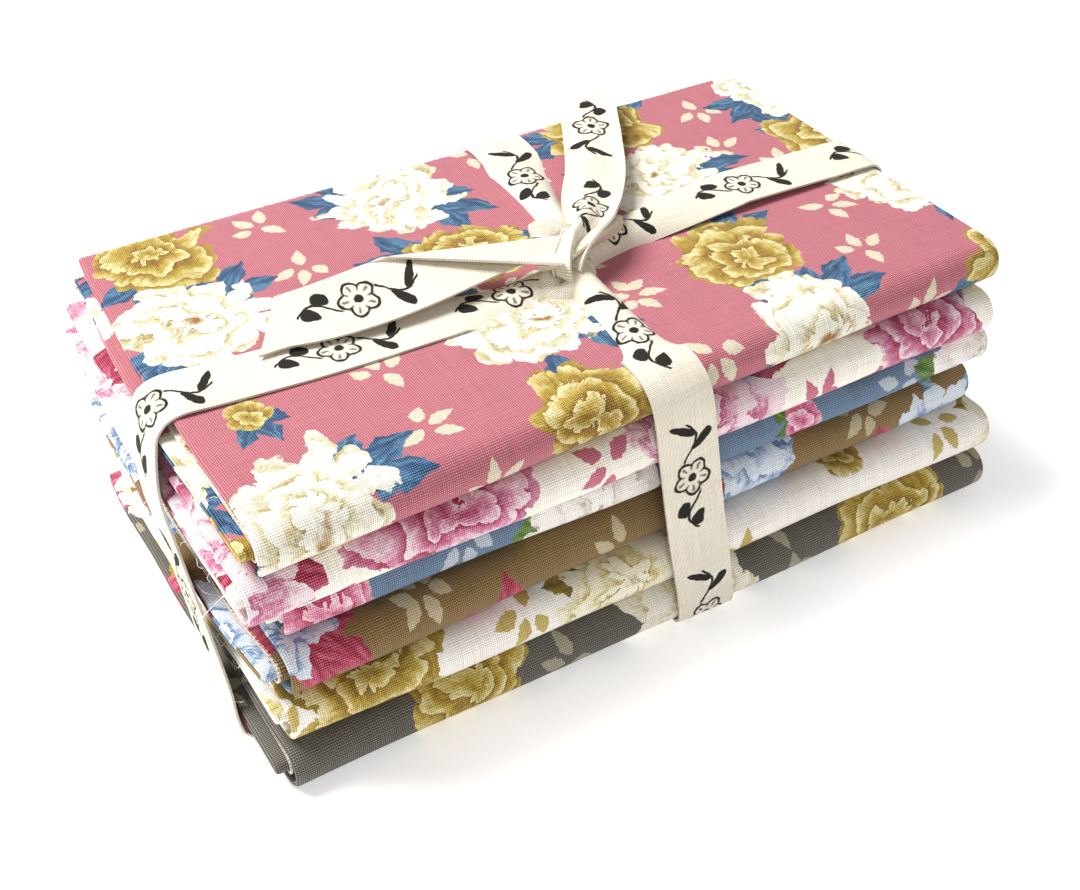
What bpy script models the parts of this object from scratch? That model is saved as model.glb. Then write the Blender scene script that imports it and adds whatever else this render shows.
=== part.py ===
"""A bundle of six fat quarters of printed cotton, tied with cotton tape.

Each cloth is a fat quarter, 559 by 457 mm. It is folded in three along its
long side, into a strip about 187 mm wide, and the strip is folded in half and
in half again. Seen from the end, the strip is one C inside another: a smooth
nose at the front, and at the back one fold and two free ends. Six such packets
lie on one another. A 15 mm cotton tape goes round them both ways, like the
string of a parcel, and is knotted on top with two free ends.

The origin is on the surface that the bundle lies on, under its middle. X runs
along the folded noses, to the right, Y to the back and Z up.
"""
import math

import bmesh
import bpy
import numpy as np

MM = 0.001

# The stack
BACK_EDGE = 55.75 * MM          # the folds and free ends at the back
CLEARANCE = 0.3 * MM            # left between any two pieces
PLY_GAP = 0.4 * MM              # between the folded plies of one packet
SOFT_END = 0.45                 # how much thinner a ply is at its soft end
SOFT_LONG = 2.0 * MM            # how far the soft stretch at a free end reaches
INNER_BACK = 2.0 * MM           # how far the inner free end stays behind the outer one
INNER_RIGHT = 0.6 * MM          # how far the inner ply stays behind at the right end
SWELL = 0.25 * MM               # how uneven the packets lie on one another
SWELL_WAVES = (19.0, 27.0)      # of that unevenness, in radians for each metre of X and Y
SWELL_SHIFTS = (1.7, 2.3)       # and how far it is shifted from each level to the next
STATIONS = (0.0, 0.005, 0.022, 0.2, 0.4, 0.6, 0.8, 0.978, 0.995, 1.0)   # shares of a packet's length
NOSE_STEPS = (8, 4)             # faces round the outer and the inner nose
TURN_STEPS = 5                  # faces round the fold at the back
SMOOTH_BELOW = 40.0             # degrees between faces that are shaded as one surface

# The tape
TAPE_THICK = 1.0 * MM
TAPE_WIDE = 15.0 * MM
ROUTE_EVERY = 3.0 * MM          # how far apart the rows along the tape are, at the most
ROUTE_STEPS = 3                 # rows between two points of a route, at the most
BAND_CROWN = 0.05 * MM          # how much the short round arches across its width
STRAP_CROWN = 0.6 * MM          # the same of the knot's straps
GROOVE_DEEP = TAPE_THICK + CLEARANCE
GROOVE_WIDE = TAPE_WIDE + 1.6 * MM
GROOVE_BEYOND = 20.0 * MM       # how far the groove's cutter reaches past the bundle

# One row for each packet, from the bottom of the stack to the top, in mm:
# its height, where its nose reaches to at the left and at the right end, where
# its outer ply ends on the left (at the back, half way and at the front), how
# much further the inner ply sticks out there, and where it ends on the right
PACKETS = (
    # name, height, nose left, nose right, end back, end mid, end front, inner out, right end
    ("packet_1_grey", 11.4, -59.7, -60.2, -94.8, -95.8, -95.9, 2.4, 95.4),
    ("packet_2_white", 12.1, -57.8, -58.7, -94.2, -95.3, -93.8, 2.3, 95.8),
    ("packet_3_tan", 12.3, -56.2, -52.4, -93.4, -94.6, -92.6, 4.6, 91.7),
    ("packet_4_blue", 10.3, -51.7, -53.2, -91.2, -91.6, -91.1, 1.4, 95.1),
    ("packet_5_cream", 11.8, -56.6, -55.2, -97.9, -99.2, -98.4, 2.0, 91.7),
    ("packet_6_pink", 10.8, -56.4, -50.7, -92.8, -95.4, -95.4, 2.5, 94.5),
)

COLOURS = {
    "packet_1_grey": (0.16, 0.16, 0.14),
    "packet_2_white": (0.80, 0.76, 0.66),
    "packet_3_tan": (0.34, 0.23, 0.10),
    "packet_4_blue": (0.28, 0.40, 0.55),
    "packet_5_cream": (0.82, 0.72, 0.70),
    "packet_6_pink": (0.68, 0.26, 0.30),
    "tape": (0.84, 0.78, 0.66),
}

# The tape's two rounds, one row for each point, in mm. The last two columns are
# the way its outer face looks, as a turn in degrees from straight up towards the
# left (for the long round) or towards the front (for the short one), and its width
LONG_ROUND = (
    # x, y, z, turn, width
    (6.0, -7.0, 71.4, 0, 9.0),
    (-13.0, -9.3, 70.0, 0, 12.5),
    (-30.0, -9.5, 69.6, 0, 15.0),
    (-60.0, -8.8, 69.5, 0, 15.0),
    (-86.0, -6.8, 69.7, 2, 15.0),
    (-93.0, -6.2, 69.8, 8, 15.0),
    (-97.4, -6.2, 68.6, 36, 15.0),
    (-99.8, -6.6, 65.4, 68, 15.0),
    (-101.0, -8.0, 61.0, 82, 15.0),
    (-102.5, -11.5, 52.0, 90, 15.0),
    (-102.0, -15.8, 42.0, 92, 15.0),
    (-100.7, -24.0, 22.0, 92, 15.0),
    (-100.0, -29.4, 9.0, 93, 15.0),
    (-99.4, -31.6, 3.8, 112, 15.0),
    (-98.2, -32.4, 1.3, 144, 15.0),
    (-96.0, -32.8, 0.5, 180, 15.0),
    (-88.0, -32.0, 0.5, 180, 15.0),
    (0.0, -22.5, 0.5, 180, 15.0),
    (86.0, -13.2, 0.5, 180, 15.0),
    (96.2, -12.3, 0.5, 180, 15.0),
    (98.0, -11.8, 1.5, 218, 15.0),
    (98.7, -11.2, 4.4, 258, 15.0),
    (98.6, -10.4, 9.0, 269, 15.0),
    (97.8, -4.0, 36.0, 270, 15.0),
    (97.4, 0.2, 59.0, 272, 15.0),
    (96.9, 1.0, 66.0, 292, 15.0),
    (94.8, 1.2, 69.3, 326, 15.0),
    (90.0, 1.4, 70.0, 354, 15.0),
    (82.0, 1.5, 70.1, 359, 15.0),
    (54.0, 1.8, 70.8, 360, 15.0),
    (30.0, 0.4, 71.8, 360, 13.5),
    (19.0, -0.9, 72.6, 360, 10.5),
    (6.0, -4.0, 73.4, 360, 9.0),
)
SHORT_ROUND = (
    # x, y, z, turn, width
    (3.0, -5.0, 74.4, 0, 6.5),
    (0.8, -13.5, 73.0, 0, 6.5),
    (0.9, -24.9, 71.2, 0, 8.5),
    (0.2, -36.0, 70.0, 0, 12.5),
    (-0.5, -45.0, 69.5, 2, 15.0),
    (-0.5, -50.6, 69.0, 22, 15.0),
    (-0.1, -54.6, 65.6, 62, 15.0),
    (0.4, -56.2, 60.4, 84, 15.0),
    (1.2, -57.1, 52.0, 93, 15.0),
    (3.4, -59.2, 31.0, 95, 15.0),
    (5.7, -60.9, 14.0, 94, 15.0),
    (6.5, -61.4, 7.0, 95, 15.0),
    (7.0, -61.0, 3.8, 112, 15.0),
    (7.4, -59.6, 1.4, 146, 15.0),
    (7.8, -57.2, 0.5, 180, 15.0),
    (8.4, -50.0, 0.5, 180, 15.0),
    (13.8, 47.0, 0.5, 180, 15.0),
    (14.0, 55.4, 0.5, 180, 15.0),
    (14.1, 57.5, 1.6, 222, 15.0),
    (14.2, 58.2, 4.6, 258, 15.0),
    (14.4, 58.2, 9.0, 269, 15.0),
    (15.3, 57.8, 38.0, 270, 15.0),
    (16.3, 57.6, 59.0, 272, 15.0),
    (16.7, 57.6, 65.6, 288, 15.0),
    (16.8, 56.2, 69.0, 322, 15.0),
    (16.7, 51.0, 69.9, 353, 15.0),
    (16.0, 44.0, 69.9, 359, 15.0),
    (13.4, 29.0, 70.4, 360, 13.0),
    (10.0, 12.0, 71.8, 360, 6.5),
    (6.0, 2.0, 73.6, 360, 6.0),
)

# The tail that runs to the back and droops over the edge, with its flat end
BACK_TAIL = (
    # x, y, z, turn, width
    (6.0, -5.0, 76.4, 0, 9.5),
    (11.6, 0.2, 76.2, 0, 12.0),
    (18.0, 9.0, 75.2, 0, 14.2),
    (26.5, 20.5, 74.6, 0, 15.0),
    (35.0, 35.0, 74.9, 0, 15.0),
    (42.5, 49.0, 75.2, -6, 15.0),
    (47.2, 57.2, 74.0, -22, 15.0),
    (50.4, 62.8, 70.6, -42, 15.0),
    (52.6, 66.4, 65.6, -58, 15.0),
)

# The tail that runs to the left: it leaves the knot with its reverse up, turns
# over along a slanting crease and goes on with its face up. Beyond the crease it
# slopes down to the front, where its front edge rests on the long round
TAIL_START = (-2.5, -7.5)       # mm, the middle of the tape at the knot
TAIL_HEADING = 144.8            # degrees from +X, before the crease
TAIL_CREASE_POINT = (1.9, -5.4)     # mm, a point of the crease, at the knot
TAIL_CREASE_HEADING = 161.9     # degrees from +X
TAIL_CREASE_RADIUS = 1.1 * MM   # at mid thickness
TAIL_LONG = 68.4 * MM
TAIL_END_SLANT = 9.8 * MM       # how much longer the front edge is than the back one
TAIL_LEVEL = 77.0 * MM          # before the crease, at mid thickness
TAIL_SLOPE = 14.8               # degrees below level, towards the front, after the crease
TAIL_BOW = 4.1 * MM             # how far the front edge bows out to the front
TAIL_BOW_LONG = 65.0 * MM       # along the crease, from its point at the knot
TAIL_LOWEST = 71.0 * MM         # where it rests on the long round
TAIL_SETTLE = 0.6 * MM          # how softly the slope runs out into that rest
TAIL_ROWS = (7, 5, 8)           # rows before the crease, round it and after it
TAIL_ROW_LEAST = 0.1 * MM       # between two rows inside the knot
TAIL_CUTS = 5                   # faces across the tail

# The knot's two straps, over the core that the tape's parts run into
KNOT_COLLAR = (
    # x, y, z, turn, width
    (10.5, 2.0, 74.6, -35, 8.0),
    (7.0, -2.0, 76.8, -12, 9.0),
    (2.6, -7.0, 77.9, 4, 9.0),
    (-0.8, -11.6, 76.2, 42, 8.5),
    (-2.6, -14.2, 73.0, 80, 8.0),
    (-2.0, -13.4, 70.4, 140, 7.0),
)
KNOT_BAR = (
    # x, y, z, turn, width
    (-5.6, -7.6, 72.2, 70, 8.0),
    (-3.6, -6.6, 75.4, 30, 9.5),
    (3.0, -4.8, 76.8, 0, 9.5),
    (10.0, -3.2, 75.6, -24, 9.5),
    (15.6, -2.0, 72.6, -48, 9.0),
)
STRAP_THICK = 1.8 * MM
KNOT_CORE = (3.0, -6.0, 73.0)         # mm, its centre
KNOT_CORE_SIZE = (17.0, 14.0, 7.6)    # mm
KNOT_CORE_CUTS = (12, 7)              # faces round it and down it


def clear_the_scene():
    """Removes what a new file starts with."""
    for thing in list(bpy.data.objects):
        bpy.data.objects.remove(thing, do_unlink=True)


def finish_of(name):
    """The plain finish of one cloth or of the tape."""
    material = bpy.data.materials.new(name)
    material.use_nodes = True
    shader = material.node_tree.nodes["Principled BSDF"]
    shader.inputs["Base Color"].default_value = (*COLOURS[name], 1.0)
    shader.inputs["Roughness"].default_value = 0.9
    shader.inputs["Metallic"].default_value = 0.0
    return material


def grid_object(name, rows):
    """An open sheet through rows of points, as an object."""
    count, across = len(rows), len(rows[0])
    corners = [tuple(point) for row in rows for point in row]
    faces = []
    for i in range(count - 1):
        for j in range(across - 1):
            a = i * across + j
            faces.append((a, a + 1, a + across + 1, a + across))
    mesh = bpy.data.meshes.new(name)
    mesh.from_pydata(corners, [], faces)
    sheet = bpy.data.objects.new(name, mesh)
    bpy.context.scene.collection.objects.link(sheet)
    return sheet


def thicken(sheet, thickness, thin_at=None):
    """Gives the sheet its thickness, half to each side, and less at soft ends."""
    solid = sheet.modifiers.new("thickness", 'SOLIDIFY')
    solid.thickness = thickness
    solid.offset = 0.0
    solid.use_even_offset = True
    solid.use_rim = True
    if thin_at:
        group = sheet.vertex_groups.new(name="full")
        group.add(range(len(sheet.data.vertices)), 1.0, 'REPLACE')
        group.add(thin_at, 1.0 - SOFT_END, 'REPLACE')
        solid.vertex_group = "full"


def make_real(thing):
    """Turns an object's modifiers into its mesh."""
    depsgraph = bpy.context.evaluated_depsgraph_get()
    mesh = bpy.data.meshes.new_from_object(thing.evaluated_get(depsgraph))
    thing.modifiers.clear()
    thing.data = mesh


def face_outwards(thing):
    """Points all faces of a closed mesh outwards and shades it smooth."""
    shape = bmesh.new()
    shape.from_mesh(thing.data)
    bmesh.ops.recalc_face_normals(shape, faces=shape.faces)
    shape.to_mesh(thing.data)
    shape.free()
    thing.data.shade_smooth()
    thing.data.set_sharp_from_angle(angle=math.radians(SMOOTH_BELOW))


def combine(thing, other, operation):
    """Joins another solid to this one, or cuts it out, and removes the other."""
    boolean = thing.modifiers.new(operation, 'BOOLEAN')
    boolean.operation = operation
    boolean.solver = 'EXACT'
    boolean.use_self = True
    boolean.object = other
    bpy.context.view_layer.update()
    make_real(thing)
    bpy.data.objects.remove(other, do_unlink=True)


# The packets

def swell(x, y, level):
    """How much the boundary between two packets rises or falls at a place."""
    along = SWELL_WAVES[0] * x + SWELL_SHIFTS[0] * level
    across = SWELL_WAVES[1] * y + SWELL_SHIFTS[1] * level
    return SWELL * math.sin(along) * math.cos(across)


def arc(centre_y, centre_z, radius, start, stop, steps):
    """Points on an arc in the Y-Z plane, from one angle to the other, in degrees."""
    points = []
    for i in range(steps + 1):
        angle = math.radians(start + (stop - start) * i / steps)
        points.append((centre_y + radius * math.cos(angle), centre_z + radius * math.sin(angle)))
    return points


def ply_thickness(height):
    """Four plies and three gaps make up a packet's height."""
    return (height - 3 * PLY_GAP) / 4


def fold_path(nose, height):
    """One C inside another, as (y, z, share): the line that a ply's middle follows.

    The share is 0 on the outer C and 1 on the inner one.
    """
    ply = ply_thickness(height)
    step = ply + PLY_GAP
    low, high = ply / 2, height - ply / 2
    nose_y = nose + height / 2
    back_y = BACK_EDGE - ply / 2 - step / 2
    inner_end = BACK_EDGE - INNER_BACK
    outer = [(BACK_EDGE, high), (BACK_EDGE - SOFT_LONG, high), (BACK_EDGE / 3, high)]
    outer += arc(nose_y, height / 2, (high - low) / 2, 90, 270, NOSE_STEPS[0])
    outer += [(BACK_EDGE / 3, low)]
    turn = arc(back_y, low + step / 2, step / 2, -90, 90, TURN_STEPS)
    inner = [(BACK_EDGE / 3, low + step)]
    inner += arc(nose_y, height / 2, step / 2, 270, 90, NOSE_STEPS[1])
    inner += [(y, high - step) for y in (BACK_EDGE / 3, inner_end - SOFT_LONG, inner_end)]
    path = [(y, z, 0.0) for y, z in outer]
    path += [(y, z, i / (len(turn) - 1)) for i, (y, z) in enumerate(turn)]
    path += [(y, z, 1.0) for y, z in inner]
    return path


def left_end(y, share, ends, further):
    """Where a ply ends on the left, from the outer ply's three given ends."""
    back, middle, front = ends
    t = y / BACK_EDGE
    outer = middle + (back - front) / 2 * t + ((back + front) / 2 - middle) * t * t
    return outer - further * share


def packet(level, name, height, noses, ends, further, right, bottom):
    """One folded cloth, between two boundaries of the stack."""
    ply = ply_thickness(height)
    top = bottom + height
    rows = []
    for at in STATIONS:
        nose = noses[0] + (noses[1] - noses[0]) * at
        row = []
        for y, z, share in fold_path(nose, height):
            left = left_end(y, share, ends, further)
            end = right - INNER_RIGHT * share
            x = left + (end - left) * at
            low = bottom + (swell(x, y, level) if level else 0.0)
            high = top + (swell(x, y, level + 1) if level + 1 < len(PACKETS) else 0.0)
            row.append((x, y, low + (high - low) * z / height))
        rows.append(row)
    sheet = grid_object(name, rows)
    across = len(rows[0])
    soft = [i * across + j for i in range(len(rows)) for j in range(across)
            if i in (0, len(rows) - 1) or j in (0, across - 1)]
    thicken(sheet, ply, thin_at=soft)
    make_real(sheet)
    face_outwards(sheet)
    sheet.data.materials.append(finish_of(name))
    return sheet


def cut_groove(thing, table):
    """Presses a shallow groove into the bottom packet, where a round of the tape runs under it."""
    under = [np.array(row[:2]) * MM for row in table if row[3] == 180]
    along = under[-1] - under[0]
    length = float(np.linalg.norm(along)) + 2 * GROOVE_BEYOND
    middle = (under[0] + under[-1]) / 2
    bpy.ops.mesh.primitive_cube_add(size=1.0)
    cutter = bpy.context.active_object
    cutter.scale = (length, GROOVE_WIDE, 2 * GROOVE_DEEP)
    cutter.rotation_euler = (0.0, 0.0, math.atan2(along[1], along[0]))
    cutter.location = (middle[0], middle[1], 0.0)
    cutter.hide_render = True
    cutter.display_type = 'WIRE'
    combine(thing, cutter, 'DIFFERENCE')


# The tape

def smooth_route(table):
    """A smooth curve through a table's rows, in metres and radians."""
    rows = [np.array((x * MM, y * MM, z * MM, math.radians(turn), width * MM))
            for x, y, z, turn, width in table]
    rows = [2 * rows[0] - rows[1]] + rows + [2 * rows[-1] - rows[-2]]
    points = []
    for i in range(1, len(rows) - 2):
        before, here, there, after = rows[i - 1:i + 3]
        gap = max(float(np.linalg.norm(there[:3] - here[:3])), 1e-9)
        slope_here = (there - before) / max(float(np.linalg.norm(there[:3] - before[:3])), 1e-9) * gap
        slope_there = (after - here) / max(float(np.linalg.norm(after[:3] - here[:3])), 1e-9) * gap
        count = max(1, min(ROUTE_STEPS, round(gap / ROUTE_EVERY)))
        for k in range(count):
            t = k / count
            points.append((2 * t**3 - 3 * t**2 + 1) * here + (t**3 - 2 * t**2 + t) * slope_here
                          + (3 * t**2 - 2 * t**3) * there + (t**3 - t**2) * slope_there)
    points.append(rows[-2])
    return points


def tape_rows(table, side, crown=0.0):
    """Rows of points across the tape, all along one route.

    side is the way that a turn of 90 degrees makes the outer face look.
    """
    route = smooth_route(table)
    for here in route:
        here[2] = max(here[2], TAPE_THICK / 2)
    side = np.array(side, dtype=float)
    up = np.array((0.0, 0.0, 1.0))
    rows = []
    for i, here in enumerate(route):
        ahead = route[min(i + 1, len(route) - 1)][:3] - route[max(i - 1, 0)][:3]
        ahead /= np.linalg.norm(ahead)
        face = math.cos(here[3]) * up + math.sin(here[3]) * side
        across = np.cross(face, ahead)
        across /= np.linalg.norm(across)
        half = here[4] / 2
        middle = here[:3] + crown * face
        rows.append((here[:3] - half * across, middle, here[:3] + half * across))
    return rows


def tape_piece(name, rows, thickness=TAPE_THICK):
    """A stretch of tape as a closed solid."""
    piece = grid_object(name, rows)
    thicken(piece, thickness)
    make_real(piece)
    for vertex in piece.data.vertices:
        vertex.co.z = max(vertex.co.z, 0.0)
    face_outwards(piece)
    return piece


def direction(degrees):
    """The level direction with that heading, from +X."""
    return np.array((math.cos(math.radians(degrees)), math.sin(math.radians(degrees))))


def rolled_over(flat, on_crease, beyond):
    """Where a point of the flat tail comes to lie, once the tail is rolled over the crease."""
    radius = TAIL_CREASE_RADIUS
    slope = math.radians(TAIL_SLOPE)
    turn = math.pi - slope
    past = float(np.dot(flat - on_crease, beyond))
    if past <= 0:
        return (*flat, TAIL_LEVEL)
    angle = min(past / radius, turn)
    straight = max(past - radius * turn, 0.0)
    level = TAIL_LEVEL - radius + radius * math.cos(angle) - straight * math.sin(slope)
    along = float(np.linalg.norm(flat - on_crease - past * beyond))
    bow = TAIL_BOW * straight / TAPE_WIDE * math.sin(math.pi * min(along / TAIL_BOW_LONG, 1.0))
    place = flat + (radius * math.sin(angle) - straight * math.cos(slope) - bow - past) * beyond
    above = TAIL_SETTLE * math.log1p(math.exp((level - TAIL_LOWEST) / TAIL_SETTLE))
    return (*place, TAIL_LOWEST + above)


def turned_over_tail():
    """The left tail: a straight strip, rolled over along a slanting crease.

    The strip's rows start square to it at the knot, run along the crease where
    it turns over, and end along the slanting cut.
    """
    heading = direction(TAIL_HEADING)
    across = direction(TAIL_HEADING + 90)
    beyond = direction(TAIL_CREASE_HEADING - 90)
    start = np.array(TAIL_START) * MM
    on_crease = np.array(TAIL_CREASE_POINT) * MM
    speed = float(np.dot(heading, beyond))
    turn_long = TAIL_CREASE_RADIUS * (math.pi - math.radians(TAIL_SLOPE)) / speed
    least = TAIL_ROW_LEAST * np.arange(sum(TAIL_ROWS))
    columns = []
    for j in range(TAIL_CUTS + 1):
        u = j / TAIL_CUTS - 0.5
        edge = start + u * TAPE_WIDE * across
        crease = float(np.dot(on_crease - edge, beyond)) / speed
        end = TAIL_LONG - u * TAIL_END_SLANT
        stops = np.concatenate((np.linspace(0, crease, TAIL_ROWS[0], endpoint=False),
                                np.linspace(crease, crease + turn_long, TAIL_ROWS[1], endpoint=False),
                                np.linspace(crease + turn_long, end, TAIL_ROWS[2])))
        columns.append([rolled_over(edge + s * heading, on_crease, beyond) for s in np.maximum(stops, least)])
    return [list(row) for row in zip(*columns)]


def knot_core():
    """The hidden middle of the knot, where the parts of the tape meet."""
    bpy.ops.mesh.primitive_uv_sphere_add(segments=KNOT_CORE_CUTS[0], ring_count=KNOT_CORE_CUTS[1], radius=0.5)
    core = bpy.context.active_object
    core.name = "core"
    for vertex in core.data.vertices:
        vertex.co = [c * MM + v * size * MM for c, v, size in zip(KNOT_CORE, vertex.co, KNOT_CORE_SIZE)]
    return core


def tape():
    """The whole tape, one piece: both rounds, the knot and the two tails."""
    left, front = (-1, 0, 0), (0, -1, 0)
    whole = tape_piece("tape", tape_rows(LONG_ROUND, left))
    parts = [
        tape_piece("short_round", tape_rows(SHORT_ROUND, front, crown=BAND_CROWN)),
        tape_piece("back_tail", tape_rows(BACK_TAIL, front)),
        tape_piece("left_tail", turned_over_tail()),
        tape_piece("collar", tape_rows(KNOT_COLLAR, front, crown=STRAP_CROWN), STRAP_THICK),
        tape_piece("bar", tape_rows(KNOT_BAR, left, crown=STRAP_CROWN), STRAP_THICK),
        knot_core(),
    ]
    for part in parts:
        combine(whole, part, 'UNION')
    face_outwards(whole)
    whole.data.materials.clear()
    whole.data.materials.append(finish_of("tape"))
    return whole


def main():
    clear_the_scene()
    bottom = 0.0
    for level, row in enumerate(PACKETS):
        name, height, nose_l, nose_r, back, middle, front, further, right = row
        gap = CLEARANCE if level else 0.0
        cloth = packet(level, name, height * MM - gap, (nose_l * MM, nose_r * MM),
                       (back * MM, middle * MM, front * MM), further * MM, right * MM, bottom + gap)
        if level == 0:
            cut_groove(cloth, LONG_ROUND)
            cut_groove(cloth, SHORT_ROUND)
            face_outwards(cloth)
        bottom += height * MM
    tape()


main()
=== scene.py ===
# %% [markdown]
# A bundle of six fat quarters, tied like a parcel with cotton tape.
#
# A fat quarter is a piece of quilting cotton, 559 by 457 mm. Each one here is folded in
# three along its long side, and the strip is then folded in half twice, so that a smooth
# round nose shows at the front. Six of these packets lie on one another. A flat cotton
# tape runs round them both ways and is knotted on top.
#
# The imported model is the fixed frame: its nodes say where each packet and the tape lie.
# This lesson replaces each plain solid by a real thin sheet, folded the same way.

# %% Load the frame
import math
import bpy
import numpy as np
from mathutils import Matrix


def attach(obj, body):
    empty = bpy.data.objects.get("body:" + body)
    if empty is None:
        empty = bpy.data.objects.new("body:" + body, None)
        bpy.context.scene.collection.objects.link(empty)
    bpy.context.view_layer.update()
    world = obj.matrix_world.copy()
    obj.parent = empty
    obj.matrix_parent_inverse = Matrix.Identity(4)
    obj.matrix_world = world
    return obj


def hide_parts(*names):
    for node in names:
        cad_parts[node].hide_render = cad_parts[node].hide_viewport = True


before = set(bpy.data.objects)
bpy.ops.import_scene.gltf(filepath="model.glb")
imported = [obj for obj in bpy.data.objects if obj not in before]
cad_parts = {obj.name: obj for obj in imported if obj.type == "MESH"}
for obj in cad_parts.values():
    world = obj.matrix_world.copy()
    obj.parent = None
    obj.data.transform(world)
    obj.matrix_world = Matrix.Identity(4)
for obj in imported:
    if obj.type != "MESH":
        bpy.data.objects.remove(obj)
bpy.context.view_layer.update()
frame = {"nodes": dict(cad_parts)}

print("The bundle's nodes:", ", ".join(frame["nodes"]))

MM = 0.001

# %% [markdown]
# The camera comes first, because everything is judged from there. The photograph was
# taken from the front left and above, close enough for the near corner to look bigger.
# A camera at the worked-out place, with a lens of 50 mm, gives the same view.

# %% Place the camera
CAMERA_PLACE = (-0.1545, -0.2541, 0.2549)
CAMERA_YAW = 31.04      # degrees from +Y towards +X
CAMERA_DOWN = 39.10     # degrees below level
CAMERA_LENS = 50.1      # mm, on a sensor 36 mm wide

camera_data = bpy.data.cameras.new("camera")
camera_data.lens = CAMERA_LENS
camera_data.sensor_fit = 'HORIZONTAL'
camera_data.sensor_width = 36.0
camera_data.clip_start = 0.01
camera = bpy.data.objects.new("camera", camera_data)
camera.location = CAMERA_PLACE
camera.rotation_euler = (math.radians(90 - CAMERA_DOWN), 0.0, math.radians(-CAMERA_YAW))
bpy.context.scene.collection.objects.link(camera)
bpy.context.scene.camera = camera
print("Camera", CAMERA_PLACE, "lens", CAMERA_LENS, "mm")

# %% [markdown]
# Cloth is a surface first and a solid second. Here each piece of cloth is a grid of
# points, worked out row by row, that keeps a map of the flat cloth in metres: the UV map
# named cloth. Prints and weaves follow that map round every fold. A Solidify modifier
# then gives the sheet its thickness, and an attribute named reverse remembers which of
# the two skins is the unprinted one.

# %% Helpers that turn a grid of points into a sheet of cloth
def select_only(first, *others):
    """Selects the given objects and nothing else, and makes the first one active."""
    bpy.ops.object.select_all(action='DESELECT')
    for thing in (first, *others):
        thing.select_set(True)
    bpy.context.view_layer.objects.active = first


def grid_mesh(name, points, flat):
    """A mesh through points[along, across], with the flat cloth's place of each as its UV."""
    rows, columns = points.shape[:2]
    index = np.arange(rows * columns).reshape(rows, columns)
    quads = np.stack((index[:-1, :-1], index[:-1, 1:], index[1:, 1:], index[1:, :-1]), axis=-1)
    quads = quads.reshape(-1, 4)
    mesh = bpy.data.meshes.new(name)
    mesh.from_pydata(points.reshape(-1, 3).tolist(), [], quads.tolist())
    uv = mesh.uv_layers.new(name="cloth")
    uv.data.foreach_set("uv", flat.reshape(-1, 2)[quads.reshape(-1)].astype(np.float32).reshape(-1))
    return mesh


def cloth_object(name, points, flat, thickness):
    """A sheet with its real thickness, made from a grid of its middle surface."""
    mesh = grid_mesh(name, points, flat)
    sheet = bpy.data.objects.new(name, mesh)
    bpy.context.scene.collection.objects.link(sheet)
    solid = sheet.modifiers.new("thickness", 'SOLIDIFY')
    solid.thickness = thickness
    solid.offset = 0.0
    solid.use_rim = True
    select_only(sheet)
    bpy.ops.object.modifier_apply(modifier=solid.name)
    count = points.shape[0] * points.shape[1]
    side = sheet.data.attributes.new("reverse", 'FLOAT', 'POINT')
    side.data.foreach_set("value", (np.arange(len(sheet.data.vertices)) >= count).astype(np.float32))
    bpy.ops.object.shade_smooth_by_angle(angle=math.radians(50))
    return sheet


# %% [markdown]
# The packets. Seen from the left, the strip of a packet is one C inside another, with a
# nose at the front and a fold and two free ends at the back. Seen from above, the strip
# itself is a letter fold: a middle panel, one panel folded over it and one under it.
# So a point of the flat cloth is found in two steps. Its u says where it is in the
# letter fold: how far along X, and how far above or below the strip's middle layer.
# Its v says where it is on the C. Each packet's own sizes come from one row of a table.

# %% Sizes of the stack, as in the construction
BACK_EDGE = 55.75 * MM          # the folds and free ends at the back
CLEARANCE = 0.3 * MM            # left between any two pieces
PLY_GAP = 0.4 * MM              # between the folded plies of one packet
SWELL = 0.25 * MM               # how uneven the packets lie on one another
CLOTH_THICK = 0.48 * MM
CLOTH_LONG, CLOTH_WIDE = 0.559, 0.457

PACKETS = (
    # name, height, nose left, nose right, end back, end mid, end front, inner out, right end
    ("packet_1_grey", 11.4, -59.7, -60.2, -94.8, -95.8, -95.9, 2.4, 95.4),
    ("packet_2_white", 12.1, -57.8, -58.7, -94.2, -95.3, -93.8, 2.3, 95.8),
    ("packet_3_tan", 12.3, -56.2, -52.4, -93.4, -94.6, -92.6, 4.6, 91.7),
    ("packet_4_blue", 10.3, -51.7, -53.2, -91.2, -91.6, -91.1, 1.4, 95.1),
    ("packet_5_cream", 11.8, -56.6, -55.2, -97.9, -99.2, -98.4, 2.0, 91.7),
    ("packet_6_pink", 10.8, -56.4, -50.7, -92.8, -95.4, -95.4, 2.5, 94.5),
)


def swell(x, y, level):
    """How much the boundary between two packets rises or falls at a place."""
    return SWELL * np.sin(19.0 * x + 1.7 * level) * np.cos(27.0 * y + 2.3 * level)


# %% The path of a ply's middle layer, seen from the left
OUTER_STEPS = (30, 18, 14)      # steps: the top, round the nose, the bottom
BACK_STEPS = 8                  # round the fold at the back
INNER_STEPS = (14, 10, 14)      # the bottom, round the inner nose, the top
INNER_SHORT = 2 * MM            # how far the inner ply stops before the outer one at the back


def straight(y_from, y_to, z, steps):
    """Points along a level stretch of the path, without the last one."""
    y = np.linspace(y_from, y_to, steps, endpoint=False)
    heading = math.copysign(1.0, y_to - y_from)
    return [(here, z, 0.0, -heading) for here in y]


def bend(centre_y, centre_z, radius, start, stop, steps):
    """Points round a fold, from one angle to the other in degrees, without the last one."""
    points = []
    turn = math.copysign(1.0, stop - start)
    for angle in np.radians(np.linspace(start, stop, steps, endpoint=False)):
        out_y, out_z = math.cos(angle), math.sin(angle)
        points.append((centre_y + radius * out_y, centre_z + radius * out_z, turn * out_y, turn * out_z))
    return points


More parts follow.
